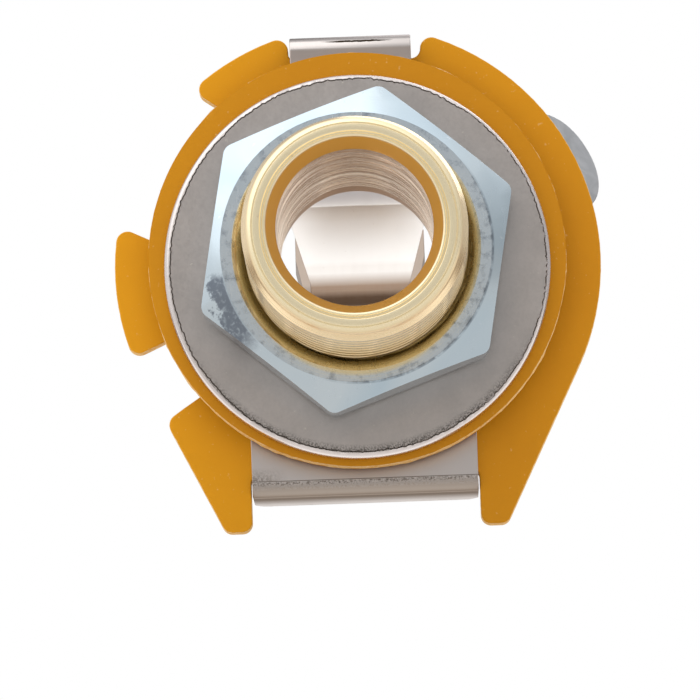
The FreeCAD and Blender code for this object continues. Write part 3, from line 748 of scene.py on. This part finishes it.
def arc(y, r, radius, start, end, steps):
    """Points of a rounding in the profile, angles from +y towards +r."""
    points = []
    for k in range(steps + 1):
        a = math.radians(start + (end - start) * k / steps)
        points.append((y + radius * math.cos(a), r + radius * math.sin(a)))
    return points


def merged_copy(node):
    """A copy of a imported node's triangles, with its corners merged and its flat facets dissolved."""
    bm = bmesh.new()
    bm.from_mesh(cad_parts[node].data)
    bm.transform(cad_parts[node].matrix_world)
    bmesh.ops.remove_doubles(bm, verts=bm.verts, dist=MERGE_DISTANCE)
    bmesh.ops.dissolve_limit(bm, angle_limit=math.radians(FLAT_ANGLE), verts=bm.verts, edges=bm.edges)
    return bm


def weigh_edges(mesh, degrees, seam):
    """Marks the edges to round. Those in the plane of a seam, where a contact is parted, stay sharp."""
    bm = bmesh.new()
    bm.from_mesh(mesh)
    weight = bm.edges.layers.float.new("bevel_weight_edge")
    for edge in bm.edges:
        on_seam = seam is not None and all(abs(vert.co.y - seam * MM) < 1e-6 for vert in edge.verts)
        sharp = len(edge.link_faces) == 2 and edge.calc_face_angle() > math.radians(degrees)
        edge[weight] = 1.0 if sharp and not on_seam else 0.0
    bm.to_mesh(mesh)
    bm.free()


def bevelled(piece, width, degrees=35, segments=2, seam=None):
    """Rounds the sharp edges, and keeps the flat faces flat in the shading."""
    if piece.data.attributes.get("custom_normal"):
        piece.data.attributes.remove(piece.data.attributes["custom_normal"])
    weigh_edges(piece.data, degrees, seam)
    piece.data.shade_smooth()
    modifier = piece.modifiers.new("edge", "BEVEL")
    modifier.width = width
    modifier.segments = segments
    modifier.limit_method = "WEIGHT"
    modifier.miter_outer = "MITER_ARC"
    weights = piece.modifiers.new("normals", "WEIGHTED_NORMAL")
    weights.weight = 60
    return bake(piece)


def mark_cut(piece):
    """Writes how much each corner of a piece belongs to its cut wall: 0 on its flat faces, 1 on the wall."""
    flat_from = 0.6
    fade = 0.2
    values = []
    for polygon in piece.data.polygons:
        amount = min(1.0, max(0.0, (flat_from - abs(polygon.normal.y)) / fade))
        values.extend([amount] * polygon.loop_total)
    piece.data.attributes.new("cut", "FLOAT", "CORNER").data.foreach_set("value", values)


THREAD_INPUTS = {
    "Float": ("Crest Radius", "Depth", "Pitch", "Start", "End", "Crest Share", "Run Out"),
    "Int": ("Around", "Rows"),
    "Material": ("Finish",),
}


def thread_tree():
    """Geometry Nodes tree of one helical thread about the Y axis."""
    tree = bpy.data.node_groups.new("jack_thread", "GeometryNodeTree")
    face = tree.interface
    face.new_socket("Geometry", in_out="INPUT", socket_type="NodeSocketGeometry")
    for kind, titles in THREAD_INPUTS.items():
        for title in titles:
            face.new_socket(title, in_out="INPUT", socket_type="NodeSocket" + kind)
    face.new_socket("Geometry", in_out="OUTPUT", socket_type="NodeSocketGeometry")

    nodes = Nodes(tree)
    given = nodes.add("NodeGroupInput").outputs
    size = {"Size X": 1.0, "Size Y": 1.0, "Vertices X": given["Around"], "Vertices Y": given["Rows"]}
    grid = nodes.add("GeometryNodeMeshGrid", size)
    across, forward, _ = nodes.split(nodes.add("GeometryNodeInputPosition").outputs[0])
    turned = nodes.plus(across, 0.5)
    reach = nodes.minus(given["End"], given["Start"])
    along = nodes.plus(given["Start"], nodes.times(nodes.plus(forward, 0.5), reach))
    phase = nodes.math("FRACT", nodes.plus(nodes.math("DIVIDE", along, given["Pitch"]), turned))
    from_groove = nodes.times(nodes.off(phase, 0.5), 2.0)
    groove = nodes.spread(from_groove, ROOT_FLAT, nodes.minus(1.0, given["Crest Share"]), 1.0, 0.0)
    fade_in = nodes.spread(nodes.minus(along, given["Start"]), 0.0, given["Run Out"])
    fade_out = nodes.spread(nodes.minus(given["End"], along), 0.0, given["Run Out"])
    depth = nodes.times(given["Depth"], fade_in, fade_out)
    radius = nodes.minus(given["Crest Radius"], nodes.times(groove, depth))
    angle = nodes.times(turned, FULL_TURN)
    x = nodes.times(radius, nodes.math("COSINE", angle))
    z = nodes.times(radius, nodes.math("SINE", angle))
    spot = nodes.join(x, along, z)
    placed = nodes.add("GeometryNodeSetPosition", {"Geometry": grid.outputs["Mesh"], "Position": spot})
    merging = {"Geometry": placed.outputs[0], "Distance": MERGE_DISTANCE}
    closed = nodes.add("GeometryNodeMergeByDistance", merging)
    real = nodes.add("GeometryNodeRealizeInstances", {"Geometry": closed.outputs[0]})
    dressed = nodes.add("GeometryNodeSetMaterial", {"Geometry": real.outputs[0], "Material": given["Finish"]})
    nodes.add("NodeGroupOutput", {"Geometry": dressed.outputs[0]})
    return tree


def socket_name(tree, title):
    for item in tree.interface.items_tree:
        if item.item_type == "SOCKET" and item.in_out == "INPUT" and item.name == title:
            return item.identifier
    raise RuntimeError(f"the tree has no input {title}")


def thread_mesh():
    """The bushing's thread as a plain mesh, open at both ends."""
    thread = bpy.context.scene.jack_thread
    tree = thread_tree()
    carrier = new_piece("thread_carrier", bmesh.new(), "gold_plate")
    modifier = carrier.modifiers.new("thread", "NODES")
    modifier.node_group = tree
    inputs = {
        "Crest Radius": CREST_RADIUS * MM,
        "Depth": thread.depth,
        "Pitch": thread.pitch,
        "Start": THREAD_FROM * MM,
        "End": THREAD_TO * MM,
        "Crest Share": thread.crest,
        "Run Out": thread.pitch * RUN_OUT_TURNS,
        "Around": AROUND + 1,
        "Rows": round((THREAD_TO - THREAD_FROM) * MM / thread.pitch * thread.rows) + 1,
        "Finish": finish_for("gold_plate"),
    }
    for title, value in inputs.items():
        modifier[socket_name(tree, title)] = value
    bake(carrier)
    mesh = carrier.data
    bpy.data.objects.remove(carrier)
    if len(mesh.polygons) < AROUND:
        raise RuntimeError("the thread came out empty")
    return mesh


def add_piece(piece, node):
    """Fixes a piece in the stack, in place of its node."""
    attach(piece, "stack")
    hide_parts(node)


def bore_profile():
    """The bore from its lead-in to the relief at its rear end, with the low rings left by the boring tool."""
    rng = random.Random(7)
    points = []
    y = LEAD_IN_TO
    while y < RELIEF_FROM - 0.3:
        step = rng.uniform(0.12, 0.3)
        depth = rng.choice((0.004, 0.01, 0.02))
        if y < BORE_RING < y + step:
            depth = 0.06
        points += [(y + step * 0.6, BORE_RADIUS), (y + step * 0.8, BORE_RADIUS + depth)]
        y += step
        points.append((y, BORE_RADIUS))
    points += [(RELIEF_FROM - 0.1, BORE_RADIUS), (RELIEF_FROM, BORE_RADIUS + 0.03)]
    points += [(RELIEF_FROM + 0.12, RELIEF_RADIUS)]
    points += [(RELIEF_FROM + 0.3 + 0.5 * k, RELIEF_RADIUS) for k in range(4)]
    return points


def make_bushing():
    """The turned body with its nose, bore and flange, and the thread's mesh joined to it."""
    front = [(THREAD_FROM, CREST_RADIUS), (-5.53, 4.745), (-5.85, 4.555)]
    nose = [(-5.87, NOSE_RADIUS), (-6.3, NOSE_RADIUS)] + arc(-6.4, NOSE_RADIUS - 0.2, 0.2, 90, 155, 8)
    lip = [(-6.62, 4.33), (-6.6, 4.31), (-6.6, 4.29), (-6.66, 4.24), (-6.69, 4.0), (-6.68, 3.97)]
    lip += [(-6.61, 3.92), (-6.61, 3.87), (-6.68, 3.83), (MOUTH, 3.81), (MOUTH, 3.76)]
    lead = [(-6.67, 3.71), (-5.86, 3.325), (LEAD_IN_TO, BORE_RADIUS)]
    rear = [(RELIEF_TO, RELIEF_RADIUS), (7.5, 3.68), (REAR_END, 3.74), (REAR_END, 3.8), (REAR_END, 6.0)]
    flange = arc(REAR_END - 0.12, FLANGE_RADIUS - 0.12, 0.12, 0, 90, 4)
    shank = [
        (FLANGE_FRONT + 0.06, FLANGE_RADIUS),
        (FLANGE_FRONT, FLANGE_RADIUS - 0.06),
        (FLANGE_FRONT, SHANK_RADIUS),
        (THREAD_TO + 0.1, SHANK_RADIUS),
        (THREAD_TO, CREST_RADIUS),
    ]
    bm = lathe(front + nose + lip + lead + bore_profile() + rear + flange + shank, closed=False)
    bm.from_mesh(thread_mesh())
    bmesh.ops.remove_doubles(bm, verts=bm.verts, dist=2 * MERGE_DISTANCE)
    piece = new_piece("bushing_turned", bm, "gold_plate")
    piece.data.materials.append(finish_for("gold_bore"))
    for polygon in piece.data.polygons:
        middle = polygon.center / MM
        inside = math.hypot(middle.x, middle.z) < RELIEF_RADIUS + 0.02 and LEAD_IN_TO < middle.y < RELIEF_TO
        polygon.material_index = 1 if inside else 0
    smooth(piece.data, 32)
    add_piece(piece, "bushing")


def make_washer():
    """The blanked washer, hanging on the shank: its rim is drawn round, and a torn line runs where the rim
    starts."""
    inner, outer, front, back = WASHER
    edge = WASHER_EDGE
    rounding = 0.05
    torn = (front + 0.04, edge)

    def tear(y, radius, angle):
        if abs(radius - edge) > 0.04:
            return 0.0
        spot = Vector((math.cos(angle), 0.3, math.sin(angle)))
        return 0.05 * math.cos(angle) + 0.04 * noise.noise(spot * 9.0) + 0.06 * noise.noise(spot * 60.0)

    profile = [(back, inner), (back, outer - rounding), (back - rounding, outer), (front + 0.3, outer)]
    profile += [(front + 0.18, outer - 0.03), (front + 0.088, outer - 0.088), (front + 0.03, outer - 0.17)]
    profile += [(front, edge + 0.03), torn, (front, edge - 0.035)]
    profile += [(front, edge - 0.2), (front, inner + rounding), (front + rounding, inner)]
    bm = lathe(profile, around=WASHER_AROUND, waver=tear)
    bmesh.ops.translate(bm, verts=bm.verts, vec=(0, 0, -WASHER_DROP * MM))
    piece = new_piece("washer_plated", bm, "nickel_steel")
    smooth(piece.data, 35)
    burr = [float(row == torn) for row in profile for _ in range(WASHER_AROUND)]
    piece.data.attributes.new("burr", "FLOAT", "POINT").data.foreach_set("value", burr)
    add_piece(piece, "front_washer")


def make_disc():
    """The round insulating disc, with the wavering wall that punching leaves."""
    inner, outer, low, high = DISC
    edges = bpy.context.scene.jack_edges
    rough = edges.rough / MM
    wide = edges.punched / MM
    thin = wide * 0.3

    def waver(y, radius, angle):
        if radius < outer - 0.05:
            return 0.0
        spot = Vector((math.cos(angle) * 9.0, y * 2.5, math.sin(angle) * 9.0))
        return -rough * (0.8 + 0.6 * noise.noise(spot * 0.9) + 0.4 * noise.noise(spot * 3.0))

    profile = [(low, inner), (high, inner), (high, outer - 0.3)]
    profile += [(high, outer - wide), (high - thin, outer - thin), (high - wide, outer)]
    profile += [(high - 0.3, outer), (high - 0.5, outer), (low + 0.3, outer), (low + wide, outer)]
    profile += [(low + thin, outer - thin), (low, outer - wide), (low, outer - 0.3)]
    piece = new_piece("disc_punched", lathe(profile, around=DISC_AROUND, waver=waver), "phenolic_disc")
    smooth(piece.data, 50)
    mark_cut(piece)
    add_piece(piece, "front_insulator")


def make_rounded(node, name, slot, width, degrees, segments):
    """A node's own shape with rounded edges."""
    piece = bevelled(new_piece(name, merged_copy(node), slot), width, degrees, segments)
    add_piece(piece, node)
    return piece


def contact_parts(node, root, half_width, loops):
    """The contact as two closed meshes, its ring with the solder tag and its spring arm, parted at the root
    of the arm."""
    bm = merged_copy(node)

    def arm_from(place):
        """The faces of the arm whose middle is behind that place."""
        found = []
        for face in bm.faces:
            middle = face.calc_center_median()
            if abs(middle.x) < half_width * MM and middle.y > place * MM:
                found.append(face)
        return found

    for y in [root] + loops:
        faces = arm_from(root - 0.25)
        geometry = set(faces)
        for face in faces:
            geometry.update(face.edges)
            geometry.update(face.verts)
        plane = {"plane_co": (0, y * MM, 0), "plane_no": (0, 1, 0)}
        bmesh.ops.bisect_plane(bm, geom=list(geometry), dist=1e-8, **plane)
    arm_faces = arm_from(root)
    arm = bm.copy()
    bm.faces.index_update()
    chosen = {face.index for face in arm_faces}
    arm.faces.ensure_lookup_table()
    bmesh.ops.delete(arm, geom=[f for k, f in enumerate(arm.faces) if k not in chosen], context="FACES")
    bmesh.ops.delete(bm, geom=arm_faces, context="FACES")
    for part in (arm, bm):
        rim = [edge for edge in part.edges if edge.is_boundary]
        bmesh.ops.holes_fill(part, edges=rim, sides=0)
    return bm, arm


def make_contact(prefix):
    """The ring and tag stay in the stack, and the arm is parted from them at its root."""
    node, spring, root, half_width, height, loops = CONTACTS[prefix]
    parts = []
    for name, bm in zip(("_ring_and_tag", "_spring_arm"), contact_parts(node, root, half_width, loops)):
        part = new_piece(prefix + name, bm, "nickel_spring")
        parts.append(bevelled(part, bpy.context.scene.jack_edges.strip, seam=root))
    still, moving = parts
    add_piece(still, node)
    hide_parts(node)
    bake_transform(moving)


def dress_plain(node, key):
    """A node whose own shape is right gets its finish."""
    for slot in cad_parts[node].material_slots:
        slot.link = "OBJECT"
        slot.material = finish_for(key)


def make_world():
    """White where the camera looks. Round the metal it is a soft room: greyer straight in front, at the right
    and high up behind, brighter above and at the left, and warm and dark low down behind the jack."""
    world = bpy.data.worlds.new("studio_white")
    nodes = Nodes(emptied(world))
    rays = nodes.add("ShaderNodeLightPath").outputs
    glossy = rays["Is Glossy Ray"]
    x, y, z = nodes.split(nodes.add("ShaderNodeTexCoord").outputs["Generated"])
    behind = nodes.spread(y, 0.2, 0.6)
    front = nodes.spread(y, -0.99, -0.7, 0.5, 0.82, True)
    ahead = nodes.spread(y, 0.1, 0.6, 0.34, 0.0, True)
    above = nodes.times(nodes.spread(z, 0.15, 0.7, smooth=True), ahead)
    left = nodes.spread(x, -0.9, -0.4, 0.06, 0.0, True)
    right = nodes.spread(x, 0.3, 0.8, 0.0, -0.3, True)
    high_behind = nodes.times(nodes.spread(z, 0.3, 0.6, 0.0, -0.25, True), behind)
    low_behind = nodes.times(nodes.spread(z, 0.0, -0.1), behind, glossy)
    room = nodes.plus(nodes.plus(front, above), nodes.plus(left, right))
    room = nodes.times(nodes.plus(room, high_behind), nodes.spread(low_behind, 0.0, 1.0, 1.0, 0.3))
    soft = nodes.spread(y, -1.0, 0.3, 1.0, 0.7, True)
    seen = nodes.math("MAXIMUM", rays["Is Camera Ray"], rays["Is Transmission Ray"])
    lit = nodes.plus(nodes.times(glossy, room), nodes.times(soft, nodes.minus(1.0, glossy)))
    tint = nodes.mix(low_behind, (1.0, 1.0, 1.0), WARM_DARK)
    strength = nodes.math("MAXIMUM", seen, lit)
    background = nodes.add("ShaderNodeBackground", {"Color": tint, "Strength": strength})
    nodes.add("ShaderNodeOutputWorld", {"Surface": background.outputs[0]})
    bpy.context.scene.world = world


def make_floor():
    """A pale floor just under the legs of the plate. It is seen from above only and fades into the white
    round it. Metal mirrors a painted glow on it: grey in front of the plate, brighter than white under the
    springs, and a warm, dark painted shadow behind."""
    low = min(corner[2] for corner in CAD_BOX) - FLOOR_GAP * MM
    half = FLOOR_REACH * MM
    mesh = bpy.data.meshes.new("floor")
    corners = [(-half, -half, low), (half, -half, low), (half, half, low), (-half, half, low)]
    mesh.from_pydata(corners, [], [(0, 1, 2, 3)])
    material = bpy.data.materials.new("floor_pale")
    nodes = Nodes(emptied(material))
    here = nodes.add("ShaderNodeTexCoord").outputs["Object"]
    x, y, _ = nodes.split(nodes.use("jack_millimetres", build_millimetres, Vector=here)["Place"])
    paper = nodes.add("ShaderNodeBsdfDiffuse", {"Color": (0.9, 0.9, 0.9, 1.0)}).outputs[0]
    # painted light for glossy rays only: a glow, brighter than white under the springs, and a warm, dark
    # painted shadow behind the jack
    under = nodes.mix(nodes.spread(y, 1.0, 6.0), (0.78, 0.76, 0.74), (1.25, 1.23, 1.21))
    painted_reflection = nodes.mix(nodes.spread(y, 19.0, 24.0), under, tuple(0.22 * part for part in WARM_DARK))
    glow = nodes.add("ShaderNodeEmission", {"Color": painted_reflection, "Strength": 1.0}).outputs[0]
    glossy = nodes.add("ShaderNodeLightPath").outputs["Is Glossy Ray"]
    lit = nodes.add("ShaderNodeMixShader", {0: glossy, 1: paper, 2: glow}).outputs[0]
    clear = nodes.add("ShaderNodeBsdfTransparent").outputs[0]
    back = nodes.add("ShaderNodeNewGeometry").outputs["Backfacing"]
    gone = nodes.math("MAXIMUM", back, nodes.spread(nodes.from_axis(x, y), 60.0, 140.0, smooth=True))
    both = nodes.add("ShaderNodeMixShader", {0: gone, 1: lit, 2: clear}).outputs[0]
    nodes.add("ShaderNodeOutputMaterial", {"Surface": both})
    mesh.materials.append(material)
    new_object("floor", mesh)


def make_lamp(name, place, size, watts):
    """A round soft lamp that points at the middle of the jack. Its place and size are in millimetres."""
    data = bpy.data.lights.new(name, "AREA")
    data.shape = "DISK"
    data.size = size * MM
    data.energy = watts
    lamp = new_object(name, data)
    lamp.location = Vector(place) * MM
    middle = Vector((0, 4, 0)) * MM
    lamp.rotation_euler = (middle - lamp.location).to_track_quat("-Z", "Y").to_euler()


def make_camera():
    studio = bpy.context.scene.jack_studio
    data = bpy.data.cameras.new("camera")
    data.sensor_width = SENSOR_WIDTH
    data.lens = SENSOR_WIDTH * studio.zoom
    data.clip_start = 0.01
    data.clip_end = 10
    camera = new_object("camera", data)
    a, e = studio.azimuth, studio.elevation
    back = Vector((math.sin(a) * math.cos(e), -math.cos(a) * math.cos(e), math.sin(e)))
    place = Vector((studio.aim_side, 0, studio.aim_height)) + back * studio.distance
    look = (-back).to_track_quat("-Z", "Y").to_matrix().to_4x4()
    camera.matrix_world = Matrix.Translation(place) @ look @ Matrix.Rotation(-studio.roll, 4, "Z")
    bpy.context.scene.camera = camera


class JACK_OT_stage(bpy.types.Operator):
    """Make the camera, the white world, the pale floor and the soft lamps"""

    bl_idname = "jack.stage"
    bl_label = "Studio"

    def execute(self, context):
        context.scene.view_settings.view_transform = "Standard"
        make_world()
        make_camera()
        make_floor()
        make_lamp("lamp_key", (-220, -200, 300), 700, 0.62)
        make_lamp("lamp_back", (120, 260, 220), 300, 0.4)
        return {"FINISHED"}


class JACK_OT_bushing(bpy.types.Operator):
    """Turn the gold bushing with its nose, bore and thread"""

    bl_idname = "jack.bushing"
    bl_label = "Threaded bushing"

    def execute(self, context):
        make_bushing()
        return {"FINISHED"}


class JACK_OT_clamping(bpy.types.Operator):
    """Make the hexagon clamp nut and the washer under it"""

    bl_idname = "jack.clamping"
    bl_label = "Clamp nut and washer"

    def execute(self, context):
        make_rounded("clamp_nut", "clamp_nut_hex", "zinc_steel", context.scene.jack_edges.machined, 22, 3)
        make_washer()
        return {"FINISHED"}


class JACK_OT_insulators(bpy.types.Operator):
    """Make the amber disc, the notched plate and the spacers between the contacts"""

    bl_idname = "jack.insulators"
    bl_label = "Insulators"

    def execute(self, context):
        make_disc()
        punched = context.scene.jack_edges.punched
        mark_cut(make_rounded("notched_insulator", "plate_notched", "phenolic", punched, 35, 2))
        dress_plain("contact_spacer", "phenolic_plain")
        dress_plain("insulating_tube", "phenolic_plain")
        return {"FINISHED"}


class JACK_OT_contacts(bpy.types.Operator):
    """Make the sprung tip and ring contacts and the sleeve's solder tag"""

    bl_idname = "jack.contacts"
    bl_label = "Contacts and tags"

    def execute(self, context):
        make_contact("tip")
        make_contact("ring")
        make_rounded("sleeve_tag", "sleeve_tag_dipped", "tinned_tag", context.scene.jack_edges.punched, 35, 3)
        return {"FINISHED"}


class JACK_PT_panel(bpy.types.Panel):
    """Lists the steps that dress the phone jack"""

    bl_idname = "JACK_PT_panel"
    bl_label = "Phone jack"
    bl_space_type = "VIEW_3D"
    bl_region_type = "UI"
    bl_category = "Phone jack"

    def draw(self, context):
        layout = self.layout
        for step in STEPS:
            layout.operator(step.bl_idname)
        for group_name, kind in SETTINGS:
            box = layout.box()
            values = getattr(context.scene, group_name)
            for field in kind.__annotations__:
                box.prop(values, field)


STEPS = (JACK_OT_stage, JACK_OT_bushing, JACK_OT_clamping, JACK_OT_insulators, JACK_OT_contacts)
SETTINGS = (
    ("jack_thread", JackThreadSettings),
    ("jack_edges", JackEdgeSettings),
    ("jack_colours", JackColourSettings),
    ("jack_studio", JackStudioSettings),
)


def register():
    for name, kind in SETTINGS:
        bpy.utils.register_class(kind)
        setattr(bpy.types.Scene, name, bpy.props.PointerProperty(type=kind))
    for step in STEPS:
        bpy.utils.register_class(step)
    bpy.utils.register_class(JACK_PT_panel)


def unregister():
    bpy.utils.unregister_class(JACK_PT_panel)
    for step in reversed(STEPS):
        bpy.utils.unregister_class(step)
    for name, kind in reversed(SETTINGS):
        delattr(bpy.types.Scene, name)
        bpy.utils.unregister_class(kind)


def main():
    register()
    bpy.ops.jack.stage()
    bpy.ops.jack.bushing()
    bpy.ops.jack.clamping()
    bpy.ops.jack.insulators()
    bpy.ops.jack.contacts()


if __name__ == "__main__":
    main()
